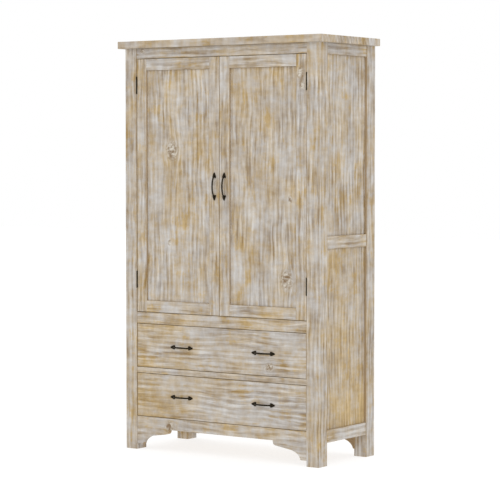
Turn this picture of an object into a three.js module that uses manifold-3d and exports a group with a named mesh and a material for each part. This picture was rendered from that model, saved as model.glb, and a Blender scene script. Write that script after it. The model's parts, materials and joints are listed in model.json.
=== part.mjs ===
// A rustic solid-wood armoire: two framed doors over two full-width drawers,
// between four square posts that run from the floor to an overhanging top board.
//
// Millimetres, +Z up, +X to the right and +Y towards the back, as someone facing
// the doors sees it. The origin is the bottom centre of the whole cabinet's box.

import * as THREE from "three";
import { mergeVertices } from "three/addons/utils/BufferGeometryUtils.js";
import Module from "manifold-3d";

const wasm = await Module();
wasm.setup();

// ---- Driving dimensions -------------------------------------------------------

// Overall size of the four posts, and the height over the top board.
const CARCASS_WIDTH = 1022;
const CARCASS_DEPTH = 440;
const HEIGHT = 1800;

// The top board, flush at the back.
const TOP_THICK = 31;
const TOP_SIDE_OVERHANG = 24.5;
const TOP_FRONT_OVERHANG = 24;

// Posts, and how far rails, doors and drawers stand back from their faces.
const POST_WIDTH = 61;
const POST_DEPTH = 66;
const SETBACK = 2;
const POST_STUB = 30;
const POST_STUB_LENGTH = 15;

// Rails across the front, from the floor upwards. The back's rails match them.
const APRON_CLEARANCE = 97;
const APRON_HEIGHT = 51;
const DRAWER_OPENING = 193.5;
const DIVIDER_HEIGHT = 25;
const WAIST_HEIGHT = 50;
const HEADER_HEIGHT = 45;
const CROSS_RAIL_THICK = 25;

// The ogee bracket at each end of both aprons, measured from the post.
const BRACKET_LENGTH = 173;
const BRACKET_NOSE_DROP = 19;
const BRACKET_NOSE_LENGTH = 14;
const BRACKET_MIDDLE = 100;
const BRACKET_MIDDLE_DROP = 30;
const BRACKET_HEEL_DROP = 36;
const BRACKET_HEEL_LEAN = 11;
const BRACKET_FOOT = 31;
const BRACKET_DROP = 72;
const BRACKET_CURVE_STEPS = 10;

// Side frames.
const SIDE_RAIL_THICK = 30;
const SIDE_TOP_RAIL = 47;
const SIDE_MIDDLE_RAIL = 53;
const SIDE_MIDDLE_RAIL_BASE = 910;
const SIDE_BOTTOM_RAIL = 53;

// Panels stand loose in grooves.
const PANEL_THICK = 8;
const PANEL_RECESS = 8;
const BACK_PANEL_THICK = 6;
const GROOVE = 8;

// Mortise-and-tenon joints.
const TENON_LENGTH = 20;
const TENON_THICK = 10;
const TENON_SHOULDER = 10;
const SLIM_TENON_SHOULDER = 5;

// Doors.
const DOOR_THICK = 20;
const DOOR_STILE = 52;
const DOOR_RAIL = 50;
const DOOR_TENON_LENGTH = 30;
const DOOR_TENON_THICK = 8;

// Drawers.
const DRAWER_FRONT_THICK = 20;
const DRAWER_SIDE_THICK = 14;
const DRAWER_SIDE_HEIGHT = 150;
const DRAWER_REAR_CLEARANCE = 30;
const DRAWER_SIDE_CLEARANCE = 4;
const DRAWER_BOTTOM_THICK = 6;
const DRAWER_BOTTOM_RISE = 10;
const DRAWER_GROOVE = 6;
const DRAWER_HOUSING = 8;

// Boards inside the case and the frames that the drawers run on.
const BOARD_THICK = 18;
const HOUSING = 8;
const SHELF_FRONT_INSET = 24;
const RUNNER_THICK = 20;
const RUNNER_WIDTH = 40;
const GUIDE_HEIGHT = 25;
const WEB_REAR_RAIL = 44;

// Butt hinges: two to a door, their knuckles level with the door's face.
const HINGE_LENGTH = 75;
const HINGE_TOP_INSET = 114;
const HINGE_BOTTOM_INSET = 142;
const KNUCKLE_RADIUS = 3.2;
const KNUCKLE_STANDOFF = 0.6;
const KNUCKLE_GAP = 0.4;
const PIN_RADIUS = 1.5;
const PIN_CLEARANCE = 0.1;
const LEAF_THICK = 1.6;
const LEAF_REAR_MARGIN = 2;
const LEAF_CLEARANCE = 0.2;
const KNUCKLE_SIDES = 24;

// Forged bow pulls with a spade-shaped plate at each end.
const PULL_LENGTH = 120;
const PULL_STANDOFF = 20.5;
const PULL_BAR_WIDTH = 7;
const PULL_BAR_THICK = 5;
const PULL_BAR_CURVE_STEPS = 5;
const PULL_BAR_STEPS = 12;
const SPADE_LENGTH = 25;
const SPADE_WIDTH = 19;
const SPADE_THICK = 2.4;
const SPADE_TIP_WIDTH = 7;
const SPADE_LOBE_RADIUS = 3.8;
const SPADE_CURVE_STEPS = 4;
const BOW_FULLNESS = 0.7;
const DOOR_PULL_INSET = 26;
const DRAWER_PULL_SPREAD = 433;
const DRAWER_PULL_SHIFT = 13;

// The running gap round each door and drawer front.
const REVEAL = 2;

// Clearance between touching pieces, and round a board in its housing.
const SEAM = 0.3;

// ---- Levels and planes that follow --------------------------------------------

const DEPTH = CARCASS_DEPTH + TOP_FRONT_OVERHANG;
const BACK = DEPTH / 2;
const FRONT = BACK - CARCASS_DEPTH;
const FACE = FRONT + SETBACK;
const SIDE = CARCASS_WIDTH / 2;
const OPENING = SIDE - POST_WIDTH;
const POST_INNER_FRONT = FRONT + POST_DEPTH;
const POST_INNER_BACK = BACK - POST_DEPTH;

const APRON_TOP = APRON_CLEARANCE + APRON_HEIGHT;
const DIVIDER_BASE = APRON_TOP + DRAWER_OPENING;
const DIVIDER_TOP = DIVIDER_BASE + DIVIDER_HEIGHT;
const WAIST_BASE = DIVIDER_TOP + DRAWER_OPENING;
const WAIST_TOP = WAIST_BASE + WAIST_HEIGHT;
const CARCASS_TOP = HEIGHT - TOP_THICK;
const HEADER_BASE = CARCASS_TOP - HEADER_HEIGHT;

const SIDE_FACE = SIDE - SETBACK;
const SIDE_INNER = SIDE_FACE - SIDE_RAIL_THICK;
const SIDE_PANEL = [SIDE_FACE - PANEL_RECESS - PANEL_THICK, SIDE_FACE - PANEL_RECESS];
const SIDE_MIDDLE_RAIL_TOP = SIDE_MIDDLE_RAIL_BASE + SIDE_MIDDLE_RAIL;

const RAIL_DEPTHS = [FACE, FACE + CROSS_RAIL_THICK];
const BACK_RAIL_DEPTHS = [BACK - SETBACK - CROSS_RAIL_THICK, BACK - SETBACK];
const BACK_PANEL_MIDDLE = (BACK_RAIL_DEPTHS[0] + BACK_RAIL_DEPTHS[1]) / 2;
const BACK_PANEL_DEPTHS = around(BACK_PANEL_MIDDLE, BACK_PANEL_THICK);

const HINGE_X = OPENING - REVEAL / 2;
const HINGE_Y = FACE - KNUCKLE_STANDOFF;

// ---- Finishes -----------------------------------------------------------------

const WASHED_WOOD = new THREE.MeshStandardMaterial({ color: 0xb8a688, roughness: 0.75 });
const INNER_WOOD = new THREE.MeshStandardMaterial({ color: 0xa98f68, roughness: 0.8 });
const BLACK_IRON = new THREE.MeshStandardMaterial({
  color: 0x242220,
  roughness: 0.5,
  metalness: 0.7,
});

// ---- Solids -------------------------------------------------------------------

function around(middle, size) {
  return [middle - size / 2, middle + size / 2];
}

// A span on the right-hand side, or its mirror image on the left.
function toSide(side, span) {
  return side > 0 ? [...span] : [-span[1], -span[0]];
}

// A closed geometry as a solid that can be joined and cut.
function solid(geometry) {
  const bare = geometry.index ? geometry.toNonIndexed() : geometry.clone();
  bare.deleteAttribute("normal");
  bare.deleteAttribute("uv");
  const merged = mergeVertices(bare, 1e-4);
  return new wasm.Manifold(
    new wasm.Mesh({
      numProp: 3,
      vertProperties: merged.attributes.position.array,
      triVerts: new Uint32Array(merged.index.array),
    }),
  );
}

// A squared board that fills three spans, larger all round by an allowance.
function board(x, y, z, allowance = 0) {
  const size = [x, y, z].map(([low, high]) => high - low + 2 * allowance);
  const middle = [x, y, z].map(([low, high]) => (low + high) / 2);
  return solid(new THREE.BoxGeometry(...size).translate(...middle));
}

// A round bar along Z.
function roundBar(radius, x, y, [low, high]) {
  const bar = new THREE.CylinderGeometry(radius, radius, high - low, KNUCKLE_SIDES);
  return solid(bar.rotateX(Math.PI / 2).translate(x, y, (low + high) / 2));
}

function join(solids) {
  return solids.reduce((whole, next) => whole.add(next));
}

function cut(whole, tools) {
  return tools.reduce((rest, tool) => rest.subtract(tool), whole);
}

// One named piece: its mesh sits at the middle of its own box, inside its group.
function piece(group, name, shape, material) {
  const { vertProperties, triVerts } = shape.getMesh();
  const geometry = new THREE.BufferGeometry();
  geometry.setAttribute("position", new THREE.BufferAttribute(vertProperties, 3));
  geometry.setIndex(new THREE.BufferAttribute(triVerts, 1));
  geometry.computeBoundingBox();
  const middle = geometry.boundingBox.getCenter(new THREE.Vector3());
  geometry.translate(-middle.x, -middle.y, -middle.z);
  const flat = geometry.toNonIndexed();
  flat.computeVertexNormals();
  const mesh = new THREE.Mesh(flat, material);
  mesh.name = name;
  mesh.position.copy(middle).sub(group.position);
  group.add(mesh);
  return mesh;
}

// ---- Joinery ------------------------------------------------------------------

const armoire = new THREE.Group();
const carcass = new THREE.Group();
armoire.add(carcass);

// Cuts that each post takes, filled in as its neighbours are made.
const POST_NAMES = ["post_front_left", "post_front_right", "post_rear_left", "post_rear_right"];
const postCuts = Object.fromEntries(POST_NAMES.map((name) => [name, []]));

function cutPosts(names, x, y, z) {
  for (const name of names) postCuts[name].push(board(x, y, z, SEAM));
}

function sideName(side) {
  return side > 0 ? "right" : "left";
}

// A rail between two posts across the front or the back, with a tenon at each end.
function crossRail(y, z, shoulder, posts) {
  const body = board([-OPENING + SEAM, OPENING - SEAM], y, z);
  const tenonX = [-OPENING - TENON_LENGTH, OPENING + TENON_LENGTH];
  const tenonY = around((y[0] + y[1]) / 2, TENON_THICK);
  const tenonZ = [z[0] + shoulder, z[1] - shoulder];
  cutPosts(posts, tenonX, tenonY, tenonZ);
  return join([body, board(tenonX, tenonY, tenonZ)]);
}

// A rail between the front and rear posts of one side, with a tenon at each end.
function sideRail(side, z) {
  const x = toSide(side, [SIDE_INNER, SIDE_FACE]);
  const body = board(x, [POST_INNER_FRONT + SEAM, POST_INNER_BACK - SEAM], z);
  const tenonX = around((x[0] + x[1]) / 2, TENON_THICK);
  const tenonY = [POST_INNER_FRONT - TENON_LENGTH, POST_INNER_BACK + TENON_LENGTH];
  const tenonZ = [z[0] + TENON_SHOULDER, z[1] - TENON_SHOULDER];
  const posts = ["post_front_", "post_rear_"].map((start) => start + sideName(side));
  cutPosts(posts, tenonX, tenonY, tenonZ);
  return join([body, board(tenonX, tenonY, tenonZ)]);
}

const FRONT_POSTS = ["post_front_left", "post_front_right"];
const REAR_POSTS = ["post_rear_left", "post_rear_right"];

// ---- The bracketed apron ------------------------------------------------------

// The space under an apron: a straight edge that steps down to an ogee bracket
// and its foot at each end. It is cut out of a rail as deep as the brackets.
function archOutline() {
  const straight = APRON_CLEARANCE;
  const nose = OPENING - BRACKET_LENGTH;
  const foot = OPENING - BRACKET_FOOT;
  const half = (sign) => {
    const edge = new THREE.Path();
    edge.moveTo(foot, straight - BRACKET_DROP - SEAM);
    edge.lineTo(foot, straight - BRACKET_DROP + SEAM);
    edge.quadraticCurveTo(
      foot - BRACKET_HEEL_LEAN,
      straight - BRACKET_HEEL_DROP,
      OPENING - BRACKET_MIDDLE,
      straight - BRACKET_MIDDLE_DROP,
    );
    edge.lineTo(nose + BRACKET_NOSE_LENGTH, straight - BRACKET_NOSE_DROP - SETBACK);
    edge.quadraticCurveTo(nose, straight - BRACKET_NOSE_DROP, nose, straight);
    return edge.getPoints(BRACKET_CURVE_STEPS).map((p) => new THREE.Vector2(sign * p.x, p.y));
  };
  return new THREE.Shape([...half(1), ...half(-1).reverse()]);
}

function apron([front, back], posts) {
  const z = [APRON_CLEARANCE, APRON_TOP];
  const rail = crossRail([front, back], z, TENON_SHOULDER, posts);
  const x = [-OPENING + SEAM, OPENING - SEAM];
  const feet = board(x, [front, back], [z[0] - BRACKET_DROP, z[1]]);
  const through = new THREE.ExtrudeGeometry(archOutline(), {
    depth: back - front + 2 * SETBACK,
    bevelEnabled: false,
  });
  const arch = solid(through.rotateX(Math.PI / 2).translate(0, back + SETBACK, 0));
  return join([feet.subtract(arch), rail]);
}

// ---- Front rails --------------------------------------------------------------

// Every drawer runs on a frame whose runners are let into the rail in front.
const RUNNER_X = [OPENING - RUNNER_WIDTH, OPENING - SEAM];
const RUNNER_Y = [RAIL_DEPTHS[1] - HOUSING, BACK_RAIL_DEPTHS[0] - SEAM];

function runnerPockets(top) {
  const z = [top - RUNNER_THICK, top];
  return [-1, 1].map((side) => board(toSide(side, RUNNER_X), RUNNER_Y, z, SEAM));
}

function frontRail(name, z, shoulder) {
  piece(carcass, name, crossRail(RAIL_DEPTHS, z, shoulder, FRONT_POSTS), WASHED_WOOD);
}

const frontApron = cut(apron(RAIL_DEPTHS, FRONT_POSTS), runnerPockets(APRON_TOP));
const dividerZ = [DIVIDER_BASE, DIVIDER_TOP];
const divider = crossRail(RAIL_DEPTHS, dividerZ, SLIM_TENON_SHOULDER, FRONT_POSTS);
piece(carcass, "front_apron", frontApron, WASHED_WOOD);
piece(carcass, "drawer_divider", cut(divider, runnerPockets(DIVIDER_TOP)), WASHED_WOOD);
frontRail("waist_rail", [WAIST_BASE, WAIST_TOP], TENON_SHOULDER);
frontRail("header_rail", [HEADER_BASE, CARCASS_TOP - SEAM], TENON_SHOULDER);

// ---- Sides: three rails and two loose panels each -----------------------------

const SIDE_RAILS = {
  top: [CARCASS_TOP - SIDE_TOP_RAIL, CARCASS_TOP - SEAM],
  mid: [SIDE_MIDDLE_RAIL_BASE, SIDE_MIDDLE_RAIL_TOP],
  bottom: [APRON_CLEARANCE, APRON_CLEARANCE + SIDE_BOTTOM_RAIL],
};
const SIDE_PANELS = {
  upper: [SIDE_RAILS.mid[1], SIDE_RAILS.top[0]],
  lower: [SIDE_RAILS.bottom[1], SIDE_RAILS.mid[0]],
};

for (const side of [-1, 1]) {
  const x = toSide(side, SIDE_PANEL);
  const y = [POST_INNER_FRONT - GROOVE, POST_INNER_BACK + GROOVE];
  const grooves = Object.entries(SIDE_PANELS).map(([level, [low, high]]) => {
    const z = [low - GROOVE, high + GROOVE];
    cutPosts(["post_front_" + sideName(side), "post_rear_" + sideName(side)], x, y, z);
    piece(carcass, `side_${level}_panel_${sideName(side)}`, board(x, y, z), WASHED_WOOD);
    return board(x, y, z, SEAM);
  });
  for (const [level, z] of Object.entries(SIDE_RAILS)) {
    const rail = cut(sideRail(side, z), grooves);
    piece(carcass, `side_${level}_rail_${sideName(side)}`, rail, WASHED_WOOD);
  }
}

// ---- Back: a top rail, a bracketed apron and a thin panel in grooves ----------

const backPanel = [
  [-OPENING - GROOVE, OPENING + GROOVE],
  BACK_PANEL_DEPTHS,
  [APRON_TOP - GROOVE, HEADER_BASE + GROOVE],
];
const backGroove = board(...backPanel, SEAM);
cutPosts(REAR_POSTS, ...backPanel);
const backTopZ = [HEADER_BASE, CARCASS_TOP - SEAM];
const backTopRail = crossRail(BACK_RAIL_DEPTHS, backTopZ, TENON_SHOULDER, REAR_POSTS);
const backApron = apron(BACK_RAIL_DEPTHS, REAR_POSTS);
piece(carcass, "back_panel", board(...backPanel), INNER_WOOD);
piece(carcass, "back_top_rail", backTopRail.subtract(backGroove), WASHED_WOOD);
piece(carcass, "back_apron", backApron.subtract(backGroove), WASHED_WOOD);

// ---- Boards inside the case ---------------------------------------------------

// A board across the case, notched round the posts and let into them by a housing.
function caseBoardSpans(frontY, z, housing) {
  const wideX = SIDE_PANEL[0] - SEAM;
  const narrowX = OPENING - SEAM + housing;
  const wideY = [POST_INNER_FRONT + SEAM - housing, POST_INNER_BACK - SEAM + housing];
  return [
    [[-wideX, wideX], wideY, z],
    [[-narrowX, narrowX], [frontY, BACK_PANEL_DEPTHS[0] - SEAM], z],
  ];
}

const floorZ = [WAIST_TOP - BOARD_THICK, WAIST_TOP];
const floorSpans = caseBoardSpans(RAIL_DEPTHS[1] + SEAM, floorZ, HOUSING);
const cupboardFloor = join(floorSpans.map((span) => board(...span)));
floorSpans.forEach((span) => cutPosts(POST_NAMES, ...span));
piece(carcass, "cupboard_floor", cupboardFloor, INNER_WOOD);

// The shelf lies on the inner ledges of the side frames' middle rails.
const shelfBase = SIDE_MIDDLE_RAIL_TOP + SEAM;
const shelfFront = FACE + DOOR_THICK + SHELF_FRONT_INSET;
const shelfSpans = caseBoardSpans(shelfFront, [shelfBase, shelfBase + BOARD_THICK], 0);
piece(carcass, "shelf", join(shelfSpans.map((span) => board(...span))), INNER_WOOD);

// ---- Web frames that the drawers run on ---------------------------------------

// Two runners notched into the posts, a rear rail between them, and along each
// runner a guide, level with the posts' inner faces, that keeps the drawer straight.
function webFrame(name, top) {
  const z = [top - RUNNER_THICK, top];
  const notchedX = [OPENING - RUNNER_WIDTH / 2, SIDE_INNER - SEAM];
  const notchedY = [POST_INNER_FRONT - HOUSING, POST_INNER_BACK + HOUSING];
  const guideX = [OPENING, SIDE_INNER - SEAM];
  const guideY = [POST_INNER_FRONT + SEAM, POST_INNER_BACK - SEAM];
  const rearY = [RUNNER_Y[1] - WEB_REAR_RAIL, RUNNER_Y[1]];
  const rear = board([-OPENING + SEAM, OPENING - SEAM], rearY, z);
  const sides = [-1, 1].flatMap((side) => {
    cutPosts(POST_NAMES, toSide(side, notchedX), notchedY, z);
    return [
      board(toSide(side, RUNNER_X), RUNNER_Y, z),
      board(toSide(side, notchedX), notchedY, z),
      board(toSide(side, guideX), guideY, [z[0], top + GUIDE_HEIGHT]),
    ];
  });
  piece(carcass, name, join([rear, ...sides]), INNER_WOOD);
}

webFrame("drawer_web_frame_lower", APRON_TOP);
webFrame("drawer_web_frame_upper", DIVIDER_TOP);

// ---- Doors --------------------------------------------------------------------

const DOOR_X = [REVEAL / 2, OPENING - REVEAL];
const DOOR_Y = [FACE, FACE + DOOR_THICK];
const DOOR_Z = [WAIST_TOP + REVEAL, HEADER_BASE - REVEAL];
const HINGE_LEVELS = {
  top: around(DOOR_Z[1] - HINGE_TOP_INSET, HINGE_LENGTH),
  bottom: around(DOOR_Z[0] + HINGE_BOTTOM_INSET, HINGE_LENGTH),
};

// A butt hinge on one side's axis: the post's leaf with two knuckles and the pin
// fixed in them, the door's leaf with the knuckle between, and what each cuts away.
function buttHinge(side, z) {
  const x = side * HINGE_X;
  const third = (z[1] - z[0]) / 3;
  const middleZ = [z[0] + third, z[1] - third];
  const outerZ = [
    [z[0], middleZ[0] - KNUCKLE_GAP],
    [middleZ[1] + KNUCKLE_GAP, z[1]],
  ];
  const leaf = (outward, allowance) => {
    const across = [LEAF_CLEARANCE, LEAF_CLEARANCE + LEAF_THICK];
    const leafX = toSide(outward, across).map((offset) => x + offset);
    return board(leafX, [HINGE_Y, DOOR_Y[1] - LEAF_REAR_MARGIN], z, allowance);
  };
  const knuckle = (span, growth) =>
    roundBar(KNUCKLE_RADIUS + growth, x, HINGE_Y, [span[0] - growth, span[1] + growth]);
  const pin = roundBar(PIN_RADIUS, x, HINGE_Y, z);
  const bore = roundBar(PIN_RADIUS + PIN_CLEARANCE, x, HINGE_Y, z);
  const postLeaf = leaf(side, 0).subtract(knuckle(middleZ, KNUCKLE_GAP));
  const doorLeaf = join([
    cut(
      leaf(-side, 0),
      outerZ.map((span) => knuckle(span, KNUCKLE_GAP)),
    ),
    knuckle(middleZ, 0),
  ]);
  return {
    post: join([postLeaf, ...outerZ.map((span) => knuckle(span, 0)), pin]),
    door: doorLeaf.subtract(bore),
    postCut: join([leaf(side, SEAM), knuckle(z, KNUCKLE_GAP)]),
    doorCut: join([leaf(-side, SEAM), knuckle(z, KNUCKLE_GAP)]),
  };
}

function door(side) {
  const name = sideName(side);
  const group = new THREE.Group();
  group.position.set(side * HINGE_X, HINGE_Y, 0);
  armoire.add(group);

  const hingeCuts = Object.entries(HINGE_LEVELS).map(([level, z]) => {
    const hinge = buttHinge(side, z);
    postCuts["post_front_" + name].push(hinge.postCut);
    piece(carcass, `hinge_${level}_${name}_post_leaf`, hinge.post, BLACK_IRON);
    piece(group, `hinge_${level}_${name}_door_leaf`, hinge.door, BLACK_IRON);
    return hinge.doorCut;
  });

  const panelX = [DOOR_X[0] + DOOR_STILE, DOOR_X[1] - DOOR_STILE];
  const railsZ = {
    bottom: [DOOR_Z[0], DOOR_Z[0] + DOOR_RAIL],
    top: [DOOR_Z[1] - DOOR_RAIL, DOOR_Z[1]],
  };
  const panel = [
    toSide(side, [panelX[0] - GROOVE, panelX[1] + GROOVE]),
    [FACE + PANEL_RECESS, FACE + PANEL_RECESS + PANEL_THICK],
    [railsZ.bottom[1] - GROOVE, railsZ.top[0] + GROOVE],
  ];
  const stileCuts = [board(...panel, SEAM)];
  const tenonX = toSide(side, [panelX[0] - DOOR_TENON_LENGTH, panelX[1] + DOOR_TENON_LENGTH]);
  const tenonY = around(FACE + DOOR_THICK / 2, DOOR_TENON_THICK);
  for (const [level, z] of Object.entries(railsZ)) {
    const tenonZ = [z[0] + TENON_SHOULDER, z[1] - TENON_SHOULDER];
    const body = board(toSide(side, [panelX[0] + SEAM, panelX[1] - SEAM]), DOOR_Y, z);
    const rail = join([body, board(tenonX, tenonY, tenonZ)]).subtract(stileCuts[0]);
    stileCuts.push(board(tenonX, tenonY, tenonZ, SEAM));
    piece(group, `door_${name}_${level}_rail`, rail, WASHED_WOOD);
  }
  const stile = (x) => cut(board(toSide(side, x), DOOR_Y, DOOR_Z), stileCuts);
  const hingeStile = cut(stile([panelX[1], DOOR_X[1]]), hingeCuts);
  piece(group, `door_${name}_hinge_stile`, hingeStile, WASHED_WOOD);
  piece(group, `door_${name}_meeting_stile`, stile([DOOR_X[0], panelX[0]]), WASHED_WOOD);
  piece(group, `door_${name}_panel`, board(...panel), WASHED_WOOD);
  return group;
}

// ---- Drawers ------------------------------------------------------------------

function drawer(level, base) {
  const group = new THREE.Group();
  group.position.set(0, FACE, base);
  armoire.add(group);

  const outerX = OPENING - DRAWER_SIDE_CLEARANCE;
  const innerX = outerX - DRAWER_SIDE_THICK;
  const frontBack = FACE + DRAWER_FRONT_THICK;
  const rear = BACK_PANEL_DEPTHS[0] - DRAWER_REAR_CLEARANCE;
  const sideZ = [base + SEAM, base + SEAM + DRAWER_SIDE_HEIGHT];
  const bottomBase = sideZ[0] + DRAWER_BOTTOM_RISE;
  const bottomTop = bottomBase + DRAWER_BOTTOM_THICK;
  const bottom = [
    [-innerX - DRAWER_GROOVE, innerX + DRAWER_GROOVE],
    [frontBack - DRAWER_GROOVE, rear - DRAWER_GROOVE],
    [bottomBase, bottomTop],
  ];
  const groove = board(...bottom, SEAM);
  const sideSpans = [-1, 1].map((side) => [
    toSide(side, [innerX, outerX]),
    [frontBack - DRAWER_HOUSING, rear],
    sideZ,
  ]);
  sideSpans.forEach((span, i) => {
    const shape = board(...span).subtract(groove);
    piece(group, `drawer_${level}_side_${["left", "right"][i]}`, shape, INNER_WOOD);
  });
  const front = board(
    [-OPENING + REVEAL, OPENING - REVEAL],
    [FACE, frontBack],
    [base + REVEAL, base + DRAWER_OPENING - REVEAL],
  );
  const frontCuts = [groove, ...sideSpans.map((span) => board(...span, SEAM))];
  piece(group, `drawer_${level}_front`, cut(front, frontCuts), WASHED_WOOD);
  piece(group, `drawer_${level}_bottom`, board(...bottom), INNER_WOOD);
  const back = board(
    [-innerX + SEAM, innerX - SEAM],
    [rear - DRAWER_GROOVE - DRAWER_SIDE_THICK, rear - DRAWER_GROOVE],
    [bottomTop + SEAM, sideZ[1]],
  );
  piece(group, `drawer_${level}_back`, back, INNER_WOOD);
  return group;
}

// ---- Bow pulls ----------------------------------------------------------------

// The shapes below stand on end in front of the plane y = 0, the wood's face.

// A spade plate lies on the wood, its tip pointing away from the bow: a blade that
// narrows to a round tip, with a round lobe each side of where the bow rises.
function spadePlate(shape, end) {
  const flat = new THREE.ExtrudeGeometry(shape, {
    depth: SPADE_THICK,
    bevelEnabled: false,
    curveSegments: SPADE_CURVE_STEPS,
  });
  flat.rotateX(Math.PI / 2).translate(0, -SEAM, PULL_LENGTH / 2 - SPADE_LENGTH);
  return solid(end > 0 ? flat : flat.rotateY(Math.PI));
}

function spade(end) {
  const half = SPADE_WIDTH / 2;
  const tip = SPADE_TIP_WIDTH / 2;
  const shoulder = SPADE_LENGTH - tip;
  const blade = new THREE.Shape();
  blade.moveTo(-half, SPADE_LOBE_RADIUS);
  blade.lineTo(half, SPADE_LOBE_RADIUS);
  blade.quadraticCurveTo(tip, SPADE_LENGTH / 2, tip, shoulder);
  blade.absarc(0, shoulder, tip, 0, Math.PI);
  blade.quadraticCurveTo(-tip, SPADE_LENGTH / 2, -half, SPADE_LOBE_RADIUS);
  const lobes = [-1, 1].map((side) => {
    const middle = side * (half - SPADE_LOBE_RADIUS);
    const lobe = new THREE.Shape();
    return lobe.absarc(middle, SPADE_LOBE_RADIUS, SPADE_LOBE_RADIUS, 0, 2 * Math.PI);
  });
  return join([blade, ...lobes].map((shape) => spadePlate(shape, end)));
}

// The bow rises out of one spade and falls into the other in one long curve. The
// middle of a cubic curve reaches three quarters of the way to its control points.
function bow() {
  const end = PULL_LENGTH / 2 - SPADE_LENGTH + 2 * SPADE_LOBE_RADIUS;
  const crown = PULL_STANDOFF - PULL_BAR_THICK / 2;
  const reach = (crown - SPADE_THICK / 4) / 0.75;
  const path = new THREE.CubicBezierCurve3(
    new THREE.Vector3(0, -SPADE_THICK, -end),
    new THREE.Vector3(0, -reach, -BOW_FULLNESS * end),
    new THREE.Vector3(0, -reach, BOW_FULLNESS * end),
    new THREE.Vector3(0, -SPADE_THICK, end),
  );
  const section = new THREE.Shape();
  section.absellipse(0, 0, PULL_BAR_WIDTH / 2, PULL_BAR_THICK / 2, 0, 2 * Math.PI, false, 0);
  const bar = new THREE.ExtrudeGeometry(section, {
    extrudePath: path,
    steps: PULL_BAR_STEPS,
    curveSegments: PULL_BAR_CURVE_STEPS,
  });
  return solid(bar);
}

const pullShape = join([bow(), spade(1), spade(-1)]);

// A pull on the plane of the door and drawer faces, upright or lying along X.
function pull(group, name, x, z, upright) {
  const mesh = piece(group, name, pullShape, BLACK_IRON);
  mesh.position.add(new THREE.Vector3(x, FACE, z));
  mesh.rotation.y = upright ? 0 : Math.PI / 2;
}

// ---- Doors, drawers and their pulls, put together -----------------------------

for (const side of [-1, 1]) {
  const middle = (DOOR_Z[0] + DOOR_Z[1]) / 2;
  pull(door(side), `door_${sideName(side)}_pull`, side * DOOR_PULL_INSET, middle, true);
}

const DRAWER_BASES = { upper: DIVIDER_TOP, lower: APRON_TOP };
for (const [level, base] of Object.entries(DRAWER_BASES)) {
  const group = drawer(level, base);
  for (const side of [-1, 1]) {
    const x = DRAWER_PULL_SHIFT + (side * DRAWER_PULL_SPREAD) / 2;
    pull(group, `drawer_${level}_pull_${sideName(side)}`, x, base + DRAWER_OPENING / 2, false);
  }
}

// ---- Posts and top board ------------------------------------------------------

// Each post ends in a square stub that is let into the underside of the top board.
const stubs = POST_NAMES.map((name) => {
  const x = toSide(name.endsWith("right") ? 1 : -1, [OPENING, SIDE]);
  const y = name.includes("front") ? [FRONT, POST_INNER_FRONT] : [POST_INNER_BACK, BACK];
  const stub = [
    around((x[0] + x[1]) / 2, POST_STUB),
    around((y[0] + y[1]) / 2, POST_STUB),
    [CARCASS_TOP - POST_STUB, CARCASS_TOP + POST_STUB_LENGTH],
  ];
  const post = join([board(x, y, [0, CARCASS_TOP - SEAM]), board(...stub)]);
  piece(carcass, name, cut(post, postCuts[name]), WASHED_WOOD);
  return board(...stub, SEAM);
});

const topBoard = board(
  [-SIDE - TOP_SIDE_OVERHANG, SIDE + TOP_SIDE_OVERHANG],
  [-DEPTH / 2, BACK],
  [CARCASS_TOP, HEIGHT],
);
piece(carcass, "top_board", cut(topBoard, stubs), WASHED_WOOD);

export default armoire;
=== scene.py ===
import json
import math

import bmesh
import bpy
from mathutils import Matrix, Vector, noise

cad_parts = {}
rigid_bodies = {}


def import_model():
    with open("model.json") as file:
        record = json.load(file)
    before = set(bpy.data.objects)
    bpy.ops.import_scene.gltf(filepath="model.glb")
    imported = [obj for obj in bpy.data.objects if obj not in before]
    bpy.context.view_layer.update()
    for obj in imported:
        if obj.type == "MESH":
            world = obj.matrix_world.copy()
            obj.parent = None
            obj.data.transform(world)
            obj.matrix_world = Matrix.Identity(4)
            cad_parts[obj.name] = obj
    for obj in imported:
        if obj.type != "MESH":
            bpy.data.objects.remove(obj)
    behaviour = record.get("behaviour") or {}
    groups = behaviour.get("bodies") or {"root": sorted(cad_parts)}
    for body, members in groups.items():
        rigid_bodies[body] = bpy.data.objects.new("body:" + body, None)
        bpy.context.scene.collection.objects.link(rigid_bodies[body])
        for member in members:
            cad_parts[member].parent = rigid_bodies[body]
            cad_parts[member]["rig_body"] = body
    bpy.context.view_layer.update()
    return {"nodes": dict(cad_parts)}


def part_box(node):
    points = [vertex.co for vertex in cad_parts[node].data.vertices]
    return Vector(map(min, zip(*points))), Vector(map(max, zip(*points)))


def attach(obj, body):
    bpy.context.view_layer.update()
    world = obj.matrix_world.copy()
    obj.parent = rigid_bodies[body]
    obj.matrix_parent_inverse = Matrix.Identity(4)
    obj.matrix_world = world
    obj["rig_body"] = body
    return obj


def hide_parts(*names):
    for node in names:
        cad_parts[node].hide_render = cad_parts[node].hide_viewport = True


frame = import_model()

# The camera looks at the armoire from off its right-hand front corner, at about the
# height of the door pulls, through a long lens that keeps its sides nearly parallel.
camera_data = bpy.data.cameras.new("camera")
camera_data.sensor_width = 36
camera_data.lens = 146.03
camera = bpy.data.objects.new("camera", camera_data)
camera.location = (5.1167, -7.2289, 1.3033)
camera.rotation_euler = [math.radians(angle) for angle in (87.31, 0, 35.21)]
bpy.context.scene.collection.objects.link(camera)
bpy.context.scene.camera = camera

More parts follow.
